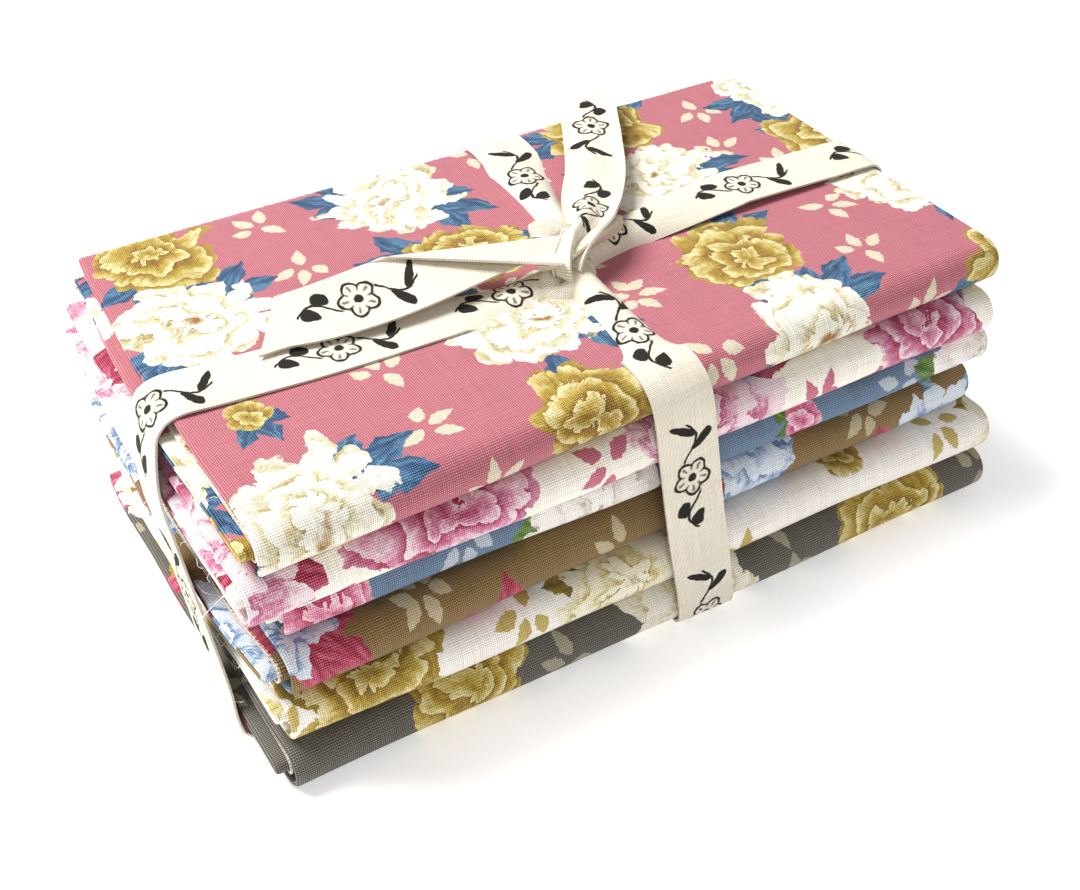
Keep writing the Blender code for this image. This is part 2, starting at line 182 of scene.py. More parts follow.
def fold_path(nose, height):
    """The path as rows of y, z, the way that the printed side looks, and the inner share."""
    ply = (height - 3 * PLY_GAP) / 4
    step = ply + PLY_GAP
    low, high = ply / 2, height - ply / 2
    nose_y = nose + height / 2
    back_y = BACK_EDGE - ply / 2 - step / 2
    outer = straight(BACK_EDGE, nose_y, high, OUTER_STEPS[0])
    outer += bend(nose_y, height / 2, (high - low) / 2, 90, 270, OUTER_STEPS[1])
    outer += straight(nose_y, back_y, low, OUTER_STEPS[2])
    turn = bend(back_y, low + step / 2, step / 2, -90, 90, BACK_STEPS)
    inner = straight(back_y, nose_y, low + step, INNER_STEPS[0])
    inner += bend(nose_y, height / 2, step / 2, 270, 90, INNER_STEPS[1])
    inner += straight(nose_y, BACK_EDGE - INNER_SHORT, high - step, INNER_STEPS[2])
    inner += [(BACK_EDGE - INNER_SHORT, high - step, 0.0, -1.0)]
    share = [0.0] * len(outer) + [i / len(turn) for i in range(len(turn))] + [1.0] * len(inner)
    return np.array([(*point, part) for point, part in zip(outer + turn + inner, share)])


# %% The letter fold, seen from the front
LETTER_STEPS = (26, 8, 44, 10, 26)      # faces: middle panel, left fold, top panel, right fold, last panel
MIDDLE_SHORT = 6.5 * MM                 # how far the middle panel's raw edge stops before the right fold
LAST_SHORT = 2.6 * MM                   # how far the last panel's raw edge stops before the left fold


def letter_fold(lift):
    """Rows of share along X, offset from that share's end, and offset along the normal.

    lift is how far the outer panels lie from the middle one.
    """
    middle, left, top, right, last = LETTER_STEPS
    small = lift / 2
    rows = [(1 - i / middle, small * (i / middle) - MIDDLE_SHORT * (1 - i / middle), 0.0)
            for i in range(middle)]
    for angle in np.linspace(0, math.pi, left, endpoint=False):
        rows.append((0.0, small - small * math.sin(angle), small - small * math.cos(angle)))
    rows += [(i / top, small * (1 - i / top) - lift * i / top, lift) for i in range(top)]
    for angle in np.linspace(0, math.pi, right, endpoint=False):
        rows.append((1.0, lift * math.sin(angle) - lift, lift * math.cos(angle)))
    rows += [(1 - i / last, -lift * (1 - i / last) + LAST_SHORT * (i / last), -lift)
             for i in range(last + 1)]
    return rows


# %% Where a packet's edges are, and how uneven it is
def left_end(y, share, ends, further):
    """Where a ply ends on the left, from the outer ply's three given ends."""
    back, middle, front = ends
    t = y / BACK_EDGE
    return middle + (back - front) / 2 * t + ((back + front) / 2 - middle) * t * t - further * share


def uneven_end(y, share, level):
    """Small steps of a ply's left end, as hands leave them."""
    slow = 0.45 * np.sin(61.0 * y + 1.9 * level + 2.1 * share)
    quick = 0.22 * np.sin(167.0 * y + 3.1 * level + 4.0 * share)
    return (slow + quick) * MM


def uneven_nose(at, level):
    """How a nose wanders along the packet."""
    return (0.35 * math.sin(7.3 * at + 2.1 * level) + 0.2 * math.sin(17.0 * at + 1.3 * level)) * MM


def puff(x, y):
    """How the top sheet stands up softly between the tape's four arms."""
    across = np.minimum(np.abs(x - 4 * MM) / (45 * MM), 1.0)
    along = np.minimum(np.abs(y + 6 * MM) / (30 * MM), 1.0)
    return 0.5 * MM * np.sin(math.pi / 2 * across) * np.sin(math.pi / 2 * along)


# %% Fold one packet
def packet_points(level, height, noses, ends, further, right, bottom):
    """The folded sheet's points and their places on the flat cloth."""
    ply = (height - 3 * PLY_GAP) / 4
    lift = (ply - CLOTH_THICK) / 2 - 0.04 * MM
    top = bottom + height
    points, us = [], []
    run = 0.0
    before = None
    for at, aside, off in letter_fold(lift):
        nose = noses[0] + (noses[1] - noses[0]) * at + uneven_nose(at, level)
        y, z, normal_y, normal_z, share = fold_path(nose, height).T
        left = left_end(y, share, ends, further) + uneven_end(y, share, level)
        end = right - 0.6 * MM * share
        x = left + (end - left) * at + aside
        y = y + off * normal_y
        z = z + off * normal_z
        low = bottom + (swell(x, y, level) if level else 0.0)
        high = top + (swell(x, y, level + 1) if level + 1 < len(PACKETS) else puff(x, y))
        z = low + (high - low) * z / height
        here = np.stack((x, y, z), axis=-1)
        if before is not None:
            run += float(np.median(np.linalg.norm((here - before)[:, (0, 2)], axis=-1)))
        before = here
        points.append(here)
        us.append(run)
    points = np.array(points)
    steps = np.median(np.linalg.norm(np.diff(points, axis=1)[..., 1:], axis=-1), axis=0)
    vs = np.concatenate(((0.0,), np.cumsum(steps)))
    u = np.array(us) * CLOTH_LONG / us[-1]
    v = vs * CLOTH_WIDE / vs[-1]
    flat = np.stack(np.meshgrid(u, v, indexing='ij'), axis=-1)
    return points, flat, us[-1], vs[-1]


packets = {}
bottom = 0.0
for level, (name, height, nose_l, nose_r, back, mid, front, further, right) in enumerate(PACKETS):
    gap = CLEARANCE if level else 0.0
    points, flat, long_side, wide_side = packet_points(
        level, height * MM - gap, (nose_l * MM, nose_r * MM), (back * MM, mid * MM, front * MM),
        further * MM, right * MM, bottom + gap)
    cloth = cloth_object("cloth_" + name[9:], points, flat, CLOTH_THICK)
    packets[name] = cloth
    bottom += height * MM
    print(name, "folds", round(long_side * 1000), "by", round(wide_side * 1000), "mm of cloth")

# %% [markdown]
# The tape is 15 mm wide. Each stretch of it follows a route: a short list of places, the
# way its face looks there, and how wide it looks. Where the tape is drawn together at the
# knot it does not get narrower: it curls, like a leaf drying, or gathers into pleats, so
# the length of its cross section is always 15 mm.

# %% The tape's routes, as in the construction
TAPE_WIDE = 15.0 * MM
TAPE_THICK = 0.55 * MM

LONG_ROUND = (
    # x, y, z, turn, width
    (6.0, -7.0, 71.4, 0, 9.0),
    (-13.0, -9.3, 70.0, 0, 12.5),
    (-30.0, -9.5, 69.6, 0, 15.0),
    (-60.0, -8.8, 69.5, 0, 15.0),
    (-86.0, -6.8, 69.7, 2, 15.0),
    (-93.0, -6.2, 69.8, 8, 15.0),
    (-97.4, -6.2, 68.6, 36, 15.0),
    (-99.8, -6.6, 65.4, 68, 15.0),
    (-101.0, -8.0, 61.0, 82, 15.0),
    (-102.5, -11.5, 52.0, 90, 15.0),
    (-102.0, -15.8, 42.0, 92, 15.0),
    (-100.7, -24.0, 22.0, 92, 15.0),
    (-100.0, -29.4, 9.0, 93, 15.0),
    (-99.4, -31.6, 3.8, 112, 15.0),
    (-98.2, -32.4, 1.3, 144, 15.0),
    (-96.0, -32.8, 0.5, 180, 15.0),
    (-88.0, -32.0, 0.5, 180, 15.0),
    (0.0, -22.5, 0.5, 180, 15.0),
    (86.0, -13.2, 0.5, 180, 15.0),
    (96.2, -12.3, 0.5, 180, 15.0),
    (98.0, -11.8, 1.5, 218, 15.0),
    (98.7, -11.2, 4.4, 258, 15.0),
    (98.6, -10.4, 9.0, 269, 15.0),
    (97.8, -4.0, 36.0, 270, 15.0),
    (97.4, 0.2, 59.0, 272, 15.0),
    (96.9, 1.0, 66.0, 292, 15.0),
    (94.8, 1.2, 69.3, 326, 15.0),
    (90.0, 1.4, 70.0, 354, 15.0),
    (82.0, 1.5, 70.1, 359, 15.0),
    (54.0, 1.8, 70.8, 360, 15.0),
    (30.0, 0.4, 71.8, 360, 13.5),
    (19.0, -0.9, 72.6, 360, 10.5),
    (6.0, -4.0, 73.4, 360, 9.0),
)
SHORT_ROUND = (
    # x, y, z, turn, width
    (3.0, -5.0, 74.4, 0, 6.5),
    (0.8, -13.5, 73.0, 0, 6.5),
    (0.9, -24.9, 71.2, 0, 8.5),
    (0.2, -36.0, 70.0, 0, 12.5),
    (-0.5, -45.0, 69.5, 2, 15.0),
    (-0.5, -50.6, 69.0, 22, 15.0),
    (-0.1, -54.6, 65.6, 62, 15.0),
    (0.4, -56.2, 60.4, 84, 15.0),
    (1.2, -57.1, 52.0, 93, 15.0),
    (3.4, -59.2, 31.0, 95, 15.0),
    (5.7, -60.9, 14.0, 94, 15.0),
    (6.5, -61.4, 7.0, 95, 15.0),
    (7.0, -61.0, 3.8, 112, 15.0),
    (7.4, -59.6, 1.4, 146, 15.0),
    (7.8, -57.2, 0.5, 180, 15.0),
    (8.4, -50.0, 0.5, 180, 15.0),
    (13.8, 47.0, 0.5, 180, 15.0),
    (14.0, 55.4, 0.5, 180, 15.0),
    (14.1, 57.5, 1.6, 222, 15.0),
    (14.2, 58.2, 4.6, 258, 15.0),
    (14.4, 58.2, 9.0, 269, 15.0),
    (15.3, 57.8, 38.0, 270, 15.0),
    (16.3, 57.6, 59.0, 272, 15.0),
    (16.7, 57.6, 65.6, 288, 15.0),
    (16.8, 56.2, 69.0, 322, 15.0),
    (16.7, 51.0, 69.9, 353, 15.0),
    (16.0, 44.0, 69.9, 359, 15.0),
    (13.4, 29.0, 70.4, 360, 13.0),
    (10.0, 12.0, 71.8, 360, 6.5),
    (6.0, 2.0, 73.6, 360, 6.0),
)
# The tape comes up from under the front of the knot, gathered into a strap, lies
# over its top and spreads out again into the tail that runs to the back
STRAP_AND_BACK_TAIL = (
    # x, y, z, turn, width
    (0.4, -11.6, 71.0, 150, 5.0),
    (-2.4, -13.4, 72.8, 88, 5.2),
    (-1.5, -12.0, 75.4, 52, 6.0),
    (1.8, -9.3, 77.4, 24, 7.2),
    (5.6, -6.4, 78.1, 5, 9.4),
    (10.0, -2.8, 77.1, -8, 11.2),
    (14.2, 3.2, 76.0, -4, 13.2),
    (18.6, 9.6, 75.2, 0, 14.6),
    (26.8, 20.8, 74.6, 0, 14.9),
    (35.0, 35.0, 74.9, 0, 14.9),
    (42.5, 49.0, 75.2, -6, 14.9),
    (47.2, 57.2, 74.0, -22, 14.9),
    (50.4, 62.8, 70.6, -42, 14.9),
    (52.6, 66.4, 65.6, -58, 14.9),
)
KNOT_BAR = (
    # x, y, z, turn, width
    (18.6, -1.6, 72.0, 24, 8.6),
    (13.6, -4.4, 73.6, 42, 6.2),
    (8.0, -7.4, 75.2, 50, 5.6),
    (2.4, -9.6, 75.0, 56, 6.0),
    (-2.6, -9.6, 73.6, 60, 6.4),
    (-5.0, -7.6, 72.0, 50, 6.4),
)
KNOT_LOBE = (
    # x, y, z, turn, width
    (-0.6, -9.4, 72.0, 20, 6.6),
    (-4.4, -10.9, 71.2, 26, 6.6),
    (-5.4, -13.6, 70.6, 44, 6.4),
    (-3.4, -16.3, 70.9, 50, 6.2),
    (0.2, -16.2, 72.0, 40, 6.0),
)
KNOT_FRILL = (
    # x, y, z, turn, width
    (6.0, -2.6, 74.4, 10, 6.0),
    (2.4, 0.8, 75.4, -20, 5.6),
    (0.2, 3.4, 75.0, -50, 5.0),
    (0.6, 5.2, 73.2, -80, 4.6),
    (4.0, 6.0, 71.8, -40, 4.6),
    (8.0, 5.0, 72.0, 0, 5.0),
)

# %% Helpers that lay tape along a route
TAPE_CUTS = 18          # faces across the tape
ROW_EVERY = 1.6 * MM    # how far apart the rows along it are


def smooth_route(table):
    """A smooth curve through a table's rows, in metres and radians."""
    rows = [np.array((x * MM, y * MM, z * MM, math.radians(turn), width * MM))
            for x, y, z, turn, width in table]
    rows = [2 * rows[0] - rows[1]] + rows + [2 * rows[-1] - rows[-2]]
    points = []
    for i in range(1, len(rows) - 2):
        before, here, there, after = rows[i - 1:i + 3]
        gap = float(np.linalg.norm(there[:3] - here[:3]))
        slope_here = (there - before) / float(np.linalg.norm(there[:3] - before[:3])) * gap
        slope_there = (after - here) / float(np.linalg.norm(after[:3] - here[:3])) * gap
        count = max(2, round(gap / ROW_EVERY))
        for t in np.arange(count) / count:
            points.append((2 * t**3 - 3 * t**2 + 1) * here + (t**3 - 2 * t**2 + t) * slope_here
                          + (3 * t**2 - 2 * t**3) * there + (t**3 - t**2) * slope_there)
    points.append(rows[-2])
    return points


def curl_angle(narrowed):
    """The angle of an arc whose chord is that share of its length."""
    low, high = 1e-3, 1.9 * math.pi
    for _ in range(40):
        middle = (low + high) / 2
        if math.sin(middle / 2) / (middle / 2) > narrowed:
            low = middle
        else:
            high = middle
    return low


def pleat_depth(narrowed, pleats):
    """The depth of a row of pleats whose width is that share of the cloth's, for a width of 1."""
    share = np.linspace(0.0, 1.0, 61)
    low, high = 0.0, 1.0
    for _ in range(24):
        middle = (low + high) / 2
        rise = np.diff(middle * np.sin(2 * math.pi * pleats * share))
        if np.hypot(rise, narrowed / 60).sum() < 1.0:
            low = middle
        else:
            high = middle
    return low


def laid_tape(table, side, pleats=0.0):
    """The tape's points along a route, and their places on the flat tape.

    side is the way that a turn of 90 degrees makes the outer face look. Where the tape
    is drawn together it curls into an arc, or gathers in that many pleats.
    """
    route = smooth_route(table)
    side = np.array(side, dtype=float)
    up = np.array((0.0, 0.0, 1.0))
    share = np.linspace(-0.5, 0.5, TAPE_CUTS + 1)
    points, flat = [], []
    run = 0.0
    for i, here in enumerate(route):
        ahead = route[min(i + 1, len(route) - 1)][:3] - route[max(i - 1, 0)][:3]
        ahead /= np.linalg.norm(ahead)
        face = math.cos(here[3]) * up + math.sin(here[3]) * side
        across = np.cross(ahead, face)
        across /= np.linalg.norm(across)
        face = np.cross(across, ahead)
        narrowed = min(here[4] / TAPE_WIDE, 0.9995)
        if pleats:
            out = here[4] * share
            depth = TAPE_WIDE * pleat_depth(narrowed, pleats)
            drop = depth * np.sin(2 * math.pi * pleats * (share + 0.5) + 0.9)
        else:
            curl = curl_angle(narrowed)
            radius = TAPE_WIDE / curl
            out = radius * np.sin(share * curl)
            drop = radius * (1 - np.cos(share * curl))
        points.append(here[:3] + out[:, None] * across - drop[:, None] * face)
        if i:
            run += float(np.linalg.norm(here[:3] - route[i - 1][:3]))
        flat.append([((part + 0.5) * TAPE_WIDE, run) for part in share])
    return np.array(points), np.array(flat), run


# %% [markdown]
# The left tail leaves the knot with its reverse up, turns over along a slanting crease
# and runs on under itself with its face up. Paper does this without stretching, and so
# does tape: every point beyond the crease is rolled round it and carried on straight.

# %% Roll the left tail over its crease
TAIL_START = (-0.4, -9.0)       # mm, the middle of the tape, inside the knot
TAIL_HEADING = 144.8            # degrees from +X, before the crease
TAIL_CREASE_POINT = (1.9, -5.4)     # mm, a point of the crease, at the knot
TAIL_CREASE_HEADING = 161.9     # degrees from +X
TAIL_CREASE_RADIUS = 0.7 * MM
TAIL_LONG = 71.0 * MM
TAIL_END_SLANT = 9.8 * MM       # how much longer the front edge is than the back one
TAIL_LEVEL = 77.0 * MM          # before the crease
TAIL_SLOPE = 14.8               # degrees below level, towards the front, after the crease
TAIL_BOW = 4.1 * MM             # how far the front edge bows out to the front
TAIL_BOW_LONG = 65.0 * MM       # along the crease, from its point at the knot
TAIL_LOWEST = 70.6 * MM         # where it rests on the long round
TAIL_SETTLE = 0.6 * MM          # how softly the slope runs out into that rest
TAIL_HOLLOW = 3.0 * MM          # how deep the tape is cupped where it leaves the knot
TAIL_HOLLOW_LONG = 24.0 * MM    # how far from the knot the cup runs out
TAIL_ROWS = (26, 9, 34)         # rows before the crease, round it and after it
TAIL_ROW_LEAST = 0.03 * MM      # between two rows inside the knot


def direction(degrees):
    """The level direction with that heading, from +X."""
    return np.array((math.cos(math.radians(degrees)), math.sin(math.radians(degrees))))


def rolled_over(flat, on_crease, beyond, cup):
    """Where a point of the flat tail comes to lie, once the tail is rolled over the crease."""
    radius = TAIL_CREASE_RADIUS
    slope = math.radians(TAIL_SLOPE)
    turn = math.pi - slope
    past = float(np.dot(flat - on_crease, beyond))
    if past <= 0:
        return (*flat, TAIL_LEVEL - cup * min(-past / (4 * MM), 1.0))
    angle = min(past / radius, turn)
    rest = max(past - radius * turn, 0.0)
    level = TAIL_LEVEL - radius + radius * math.cos(angle) - rest * math.sin(slope)
    along = float(np.linalg.norm(flat - on_crease - past * beyond))
    bow = TAIL_BOW * rest / TAPE_WIDE * math.sin(math.pi * min(along / TAIL_BOW_LONG, 1.0))
    place = flat + (radius * math.sin(angle) - rest * math.cos(slope) - bow - past) * beyond
    above = TAIL_SETTLE * math.log1p(math.exp((level - TAIL_LOWEST) / TAIL_SETTLE))
    return (*place, TAIL_LOWEST + above)


def turned_over_tail():
    """The left tail's points and their places on the flat tape."""
    heading = direction(TAIL_HEADING)
    across = direction(TAIL_HEADING + 90)
    beyond = direction(TAIL_CREASE_HEADING - 90)
    start = np.array(TAIL_START) * MM
    on_crease = np.array(TAIL_CREASE_POINT) * MM
    speed = float(np.dot(heading, beyond))
    turn_long = TAIL_CREASE_RADIUS * (math.pi - math.radians(TAIL_SLOPE)) / speed
    least = TAIL_ROW_LEAST * np.arange(sum(TAIL_ROWS))
    columns, flat = [], []
    for part in np.linspace(-0.5, 0.5, TAPE_CUTS + 1):
        edge = start + part * TAPE_WIDE * across
        crease = float(np.dot(on_crease - edge, beyond)) / speed
        end = TAIL_LONG - part * TAIL_END_SLANT
        stops = np.concatenate((np.linspace(0, crease, TAIL_ROWS[0], endpoint=False),
                                np.linspace(crease, crease + turn_long, TAIL_ROWS[1], endpoint=False),
                                np.linspace(crease + turn_long, end, TAIL_ROWS[2])))
        stops = np.maximum(stops, least)
        cup = TAIL_HOLLOW * math.cos(math.pi * part) * np.exp(-stops / TAIL_HOLLOW_LONG)
        columns.append([rolled_over(edge + s * heading, on_crease, beyond, c) for s, c in zip(stops, cup)])
        flat.append([((part + 0.5) * TAPE_WIDE, s) for s in stops])
    return np.array(columns)[::-1], np.array(flat)[::-1], TAIL_LONG


# %% Make the stretches of tape and join them
LEFTWARDS, FORWARDS = (-1, 0, 0), (0, -1, 0)
stretches = (
    ("long_round", laid_tape(LONG_ROUND, LEFTWARDS)),
    ("short_round", laid_tape(SHORT_ROUND, FORWARDS)),
    ("strap_and_back_tail", laid_tape(STRAP_AND_BACK_TAIL, FORWARDS, pleats=1.5)),
    ("left_tail", turned_over_tail()),
    ("knot_bar", laid_tape(KNOT_BAR, FORWARDS, pleats=1.0)),
    ("knot_lobe", laid_tape(KNOT_LOBE, FORWARDS)),
    ("knot_frill", laid_tape(KNOT_FRILL, FORWARDS, pleats=2.0)),
)
TAPE_REPEAT = 42 * MM           # from one printed flower to the next
BARE_SHIFT = 3 * TAPE_WIDE      # moves a stretch's map off the print: the knot shows no print
STRAP_BARE = 10 * MM            # from the strap's start to the middle of a bare length
tape_long = 0.0
tape_parts = []
for name, (points, flat, run) in stretches:
    if name == "strap_and_back_tail":
        tape_long += (-tape_long - STRAP_BARE) % TAPE_REPEAT    # tape that is hidden in the knot
    flat = flat + (BARE_SHIFT if name.startswith("knot") else 0.0, tape_long)
    print(name, "takes", round(run * 1000), "mm of tape")
    tape_long += run
    tape_parts.append(cloth_object(name, points, flat, TAPE_THICK))
select_only(*tape_parts)
bpy.ops.object.join()
tape = tape_parts[0]
tape.name = "cotton_tape"
print("The tape is", round(tape_long * 1000), "mm long from end to end")

# %% [markdown]
# Materials. All the prints are drawn by arithmetic on the cloth's own map. A formula with
# dozens of Math nodes is easier to read as a formula, so a small class stands for a
# socket: each sign in a line of Python adds the node that works it out.

# %% A socket that can stand in a formula
class Signal:
    """An output socket in a formula: each rule of arithmetic adds a node."""

    def __init__(self, tree, socket):
        self.tree = tree
        self.socket = socket

    def calc(self, operation, *others, clamp=False):
        """A Math node with this signal as its first input."""
        node = self.tree.nodes.new("ShaderNodeMath")
        node.operation = operation
        node.use_clamp = clamp
        for slot, value in zip(node.inputs, (self, *others)):
            feed(self.tree, value, slot)
        return Signal(self.tree, node.outputs[0])

    def vector(self, operation, *others, scale=None, out=0):
        """A Vector Math node with this signal as its first input."""
        node = self.tree.nodes.new("ShaderNodeVectorMath")
        node.operation = operation
        for slot, value in zip(node.inputs, (self, *others)):
            feed(self.tree, value, slot)
        if scale is not None:
            feed(self.tree, scale, node.inputs["Scale"])
        return Signal(self.tree, node.outputs[out])

    def __add__(self, other):
        return self.calc('ADD', other)

    def __sub__(self, other):
        return self.calc('SUBTRACT', other)

    def __mul__(self, other):
        return self.calc('MULTIPLY', other)

    def __truediv__(self, other):
        return self.calc('DIVIDE', other)

    def __rsub__(self, other):
        return self.calc('MULTIPLY_ADD', -1.0, other)

    def clamped(self):
        """This signal, kept between 0 and 1."""
        return self.calc('ADD', 0.0, clamp=True)

    def size(self):
        """This signal without its sign."""
        return self.calc('ABSOLUTE')

    def xyz(self):
        """The three parts of a vector."""
        node = self.tree.nodes.new("ShaderNodeSeparateXYZ")
        feed(self.tree, self, node.inputs[0])
        return [Signal(self.tree, out) for out in node.outputs]


def feed(tree, value, slot):
    """Gives a slot its value: a link from a signal, or a plain number or colour."""
    if isinstance(value, Signal):
        tree.links.new(value.socket, slot)
    else:
        slot.default_value = value


def joined(tree, x, y, z=0.0):
    """A vector from three parts."""
    node = tree.nodes.new("ShaderNodeCombineXYZ")
    for value, slot in zip((x, y, z), node.inputs):
        feed(tree, value, slot)
    return Signal(tree, node.outputs[0])


def turned(tree, vector, angle):
    """A vector turned round Z by an angle."""
    node = tree.nodes.new("ShaderNodeVectorRotate")
    node.rotation_type = 'Z_AXIS'
    feed(tree, vector, node.inputs["Vector"])
    feed(tree, angle, node.inputs["Angle"])
    return Signal(tree, node.outputs[0])


def noise(tree, where, scale, detail=1.0, colour=False):
    """A Noise Texture's value, or its colour."""
    node = tree.nodes.new("ShaderNodeTexNoise")
    node.inputs["Scale"].default_value = scale
    node.inputs["Detail"].default_value = detail
    feed(tree, where, node.inputs["Vector"])
    return Signal(tree, node.outputs["Color" if colour else "Fac"])


def blend_colours(tree, factor, under, over, kind='MIX'):
    """One colour laid over another as far as the factor says."""
    node = tree.nodes.new("ShaderNodeMix")
    node.data_type = 'RGBA'
    node.blend_type = kind
    feed(tree, factor, node.inputs[0])
    feed(tree, under, node.inputs[6])
    feed(tree, over, node.inputs[7])
    return Signal(tree, node.outputs[2])


def new_group(name, inputs, outputs):
    """An empty shader group: its tree, its inputs as signals, and its output node.

    inputs and outputs are names; one that starts with a capital V is a vector's.
    """
    group = bpy.data.node_groups.new(name, "ShaderNodeTree")
    for way, titles in (('INPUT', inputs), ('OUTPUT', outputs)):
        for title in titles:
            kind = 'NodeSocketVector' if title.startswith("V ") else 'NodeSocketFloat'
            group.interface.new_socket(name=title, in_out=way, socket_type=kind)
    source = group.nodes.new("NodeGroupInput")
    sink = group.nodes.new("NodeGroupOutput")
    return group, [Signal(group, out) for out in source.outputs[:len(inputs)]], sink


def use_group(tree, group, **values):
    """Places a group and gives its inputs; underscores in the names stand for spaces."""
    node = tree.nodes.new("ShaderNodeGroup")
    node.node_tree = group
    for title, value in values.items():
        feed(tree, value, node.inputs[title.replace("_", " ")])
    return [Signal(tree, out) for out in node.outputs]


# %% [markdown]
# A printed cotton repeats its motifs on a lattice. In a half drop, each column is set
# half a repeat lower than the one before it. This group takes the cloth's map and gives
# back the place inside one cell of the lattice, in metres from its middle, turned by a
# chance angle, so that the same flower never lies the same way twice in a row.

# %% The lattice of a repeat
lattice, (where, pitch, shift, spin, jitter), sink = new_group(
    "repeat lattice", ("V cloth", "V pitch", "V shift", "spin", "jitter"), ("V place", "chance"))
x, y, _ = where.vector('ADD', shift).vector('DIVIDE', pitch).xyz()
column = x.calc('FLOOR')
dropped = y + (column * 0.5).calc('FRACT')
row = dropped.calc('FLOOR')
dice = lattice.nodes.new("ShaderNodeTexWhiteNoise")
dice.noise_dimensions = '3D'
feed(lattice, joined(lattice, column, row, shift.xyz()[0] * 97.0), dice.inputs["Vector"])
throw = Signal(lattice, dice.outputs["Color"])
in_cell = joined(lattice, x - column - 0.5, dropped - row - 0.5).vector('MULTIPLY', pitch)
nudge = throw.vector('SUBTRACT', (0.5, 0.5, 0.5)).vector('SCALE', scale=jitter)
nudged = in_cell.vector('ADD', nudge).vector('MULTIPLY', (1.0, 1.0, 0.0))
angle = (Signal(lattice, dice.outputs["Value"]) - 0.5) * spin
feed(lattice, turned(lattice, nudged, angle), sink.inputs[0])
feed(lattice, throw.xyz()[2], sink.inputs[1])

# %% [markdown]
# A bloom is painted as a printer's artist paints it: a ragged outline, and inside it rings
# of petals round a heart that lies off the middle. Within a ring the tone runs from dark,
# where the petal is tucked under, to light at its lip, with brush strokes along it. A slow
# drift pulls the whole flower out of true. The same group paints peonies, roses and buds,
# with other counts of petals and rings.

# %% A bloom
bloom, (place, radius, petals, rings, wobble, drift), sink = new_group(
    "bloom", ("V place", "radius", "petals", "rings", "V wobble", "V drift"),
    ("mask", "tone", "reach", "heart"))
shaken = place.vector('ADD', drift.vector('SCALE', scale=radius * 0.95))
ragged = shaken.vector('ADD', wobble.vector('SCALE', scale=radius * 0.21))
x, y, _ = ragged.xyz()
theta = y.calc('ARCTAN2', x)
reach = ragged.vector('LENGTH', out=1) / radius
lobes = (theta * petals * 0.5 + 0.7).calc('SINE').size().calc('POWER', 0.6)
edge = lobes * 0.22 + (theta * 2.0 + 1.9).calc('SINE') * 0.07 + 0.72
mask = (edge - reach) * radius * 3500.0
off_middle = ragged.vector('ADD', joined(bloom, radius * 0.13, radius * -0.09))
x, y, _ = off_middle.xyz()
theta = y.calc('ARCTAN2', x)
inner = off_middle.vector('LENGTH', out=1) / radius
band = inner * rings + (theta * 2.0).calc('SINE') * 0.22
ring = band.calc('FLOOR')
scallop = (theta * petals * 0.4 + ring * 2.4).calc('SINE').size()
within = (band + scallop * -0.34 + 0.34).calc('FRACT')
seam = (1.0 - scallop).calc('POWER', 5.0)
stroke = noise(bloom, joined(bloom, theta * 5.0, inner * 3.0, ring * 7.0), 1.6, 2.0) - 0.5
tone = within * 0.75 + 0.22 - seam * 0.30 + stroke * 0.9
feed(bloom, mask.calc('ADD', 0.5, clamp=True), sink.inputs[0])
feed(bloom, tone.clamped(), sink.inputs[1])
feed(bloom, reach.clamped(), sink.inputs[2])
feed(bloom, ((0.17 - inner + stroke * 0.10) * 12.0).clamped(), sink.inputs[3])

# %% A fan of plump leaves, also used for the pale sprays
leaves, (place, start, long, wide, fan, many, wobble), sink = new_group(
    "leaf fan", ("V place", "start", "long", "wide", "fan", "many", "V wobble"), ("mask", "tone"))
shaken = place.vector('ADD', wobble.vector('SCALE', scale=0.0022))
x, y, _ = shaken.xyz()
which = (y.calc('ARCTAN2', x) / fan).calc('ROUND')
which = which.calc('MINIMUM', many).calc('MAXIMUM', many * -1.0)
along, aside, _ = turned(leaves, shaken, which * fan * -1.0).xyz()
own_long = long * ((which * 2.3 + 0.6).calc('SINE') * 0.16 + 0.92)
t = ((along - start) / own_long).clamped()
bent = aside + (t * math.pi).calc('SINE') * wide * 0.10
half = (t.calc('POWER', 0.75) * math.pi).calc('SINE') * wide * 0.5
notch = (t * 26.0 + bent * 900.0).calc('SINE') * 0.08 + 0.96
away = bent.size()
mask = ((half * notch - away) * 3600.0).clamped()
rib = (away * -2600.0 + 1.0).clamped()
stroke = noise(leaves, joined(leaves, along * 0.3 + away * 0.7, bent, which), 520.0, 2.0) - 0.5
light_half = (bent * 2500.0).clamped()
tone = light_half * 0.22 - rib * 0.18 + stroke * 1.9 + t * 0.12 + 0.34
feed(leaves, mask, sink.inputs[0])
feed(leaves, tone.clamped(), sink.inputs[1])

# %% [markdown]
# Under the print is plain weave: threads that pass over and under each other by turns.
# The height of a thread is a wave along it, and its roundness a wave across it. The
# group gives the height, for the bump and for the shade and highlights painted into the
# cloth's colour, and a slow streak for each thread, because no two threads take the dye
# quite alike.

# %% The weave
weave, (where, thread), sink = new_group("plain weave", ("V cloth", "thread"), ("height", "streak"))
x, y, _ = where.vector('DIVIDE', joined(weave, thread, thread, 1.0)).xyz()
warp_over = ((y + x.calc('FLOOR')) * math.pi).calc('SINE')
weft_over = ((x + y.calc('FLOOR') + 1.0) * math.pi).calc('SINE')
warp = (x.calc('FRACT') * math.pi).calc('SINE') * (warp_over * 0.5 + 0.5)
weft = (y.calc('FRACT') * math.pi).calc('SINE') * (weft_over * 0.5 + 0.5)
warp_streak = noise(weave, joined(weave, x, y * 0.03), 1.0)
weft_streak = noise(weave, joined(weave, x * 0.03, y, 5.0), 1.0)
feed(weave, warp.calc('MAXIMUM', weft), sink.inputs[0])
feed(weave, warp_streak * 0.5 + weft_streak * 0.5, sink.inputs[1])

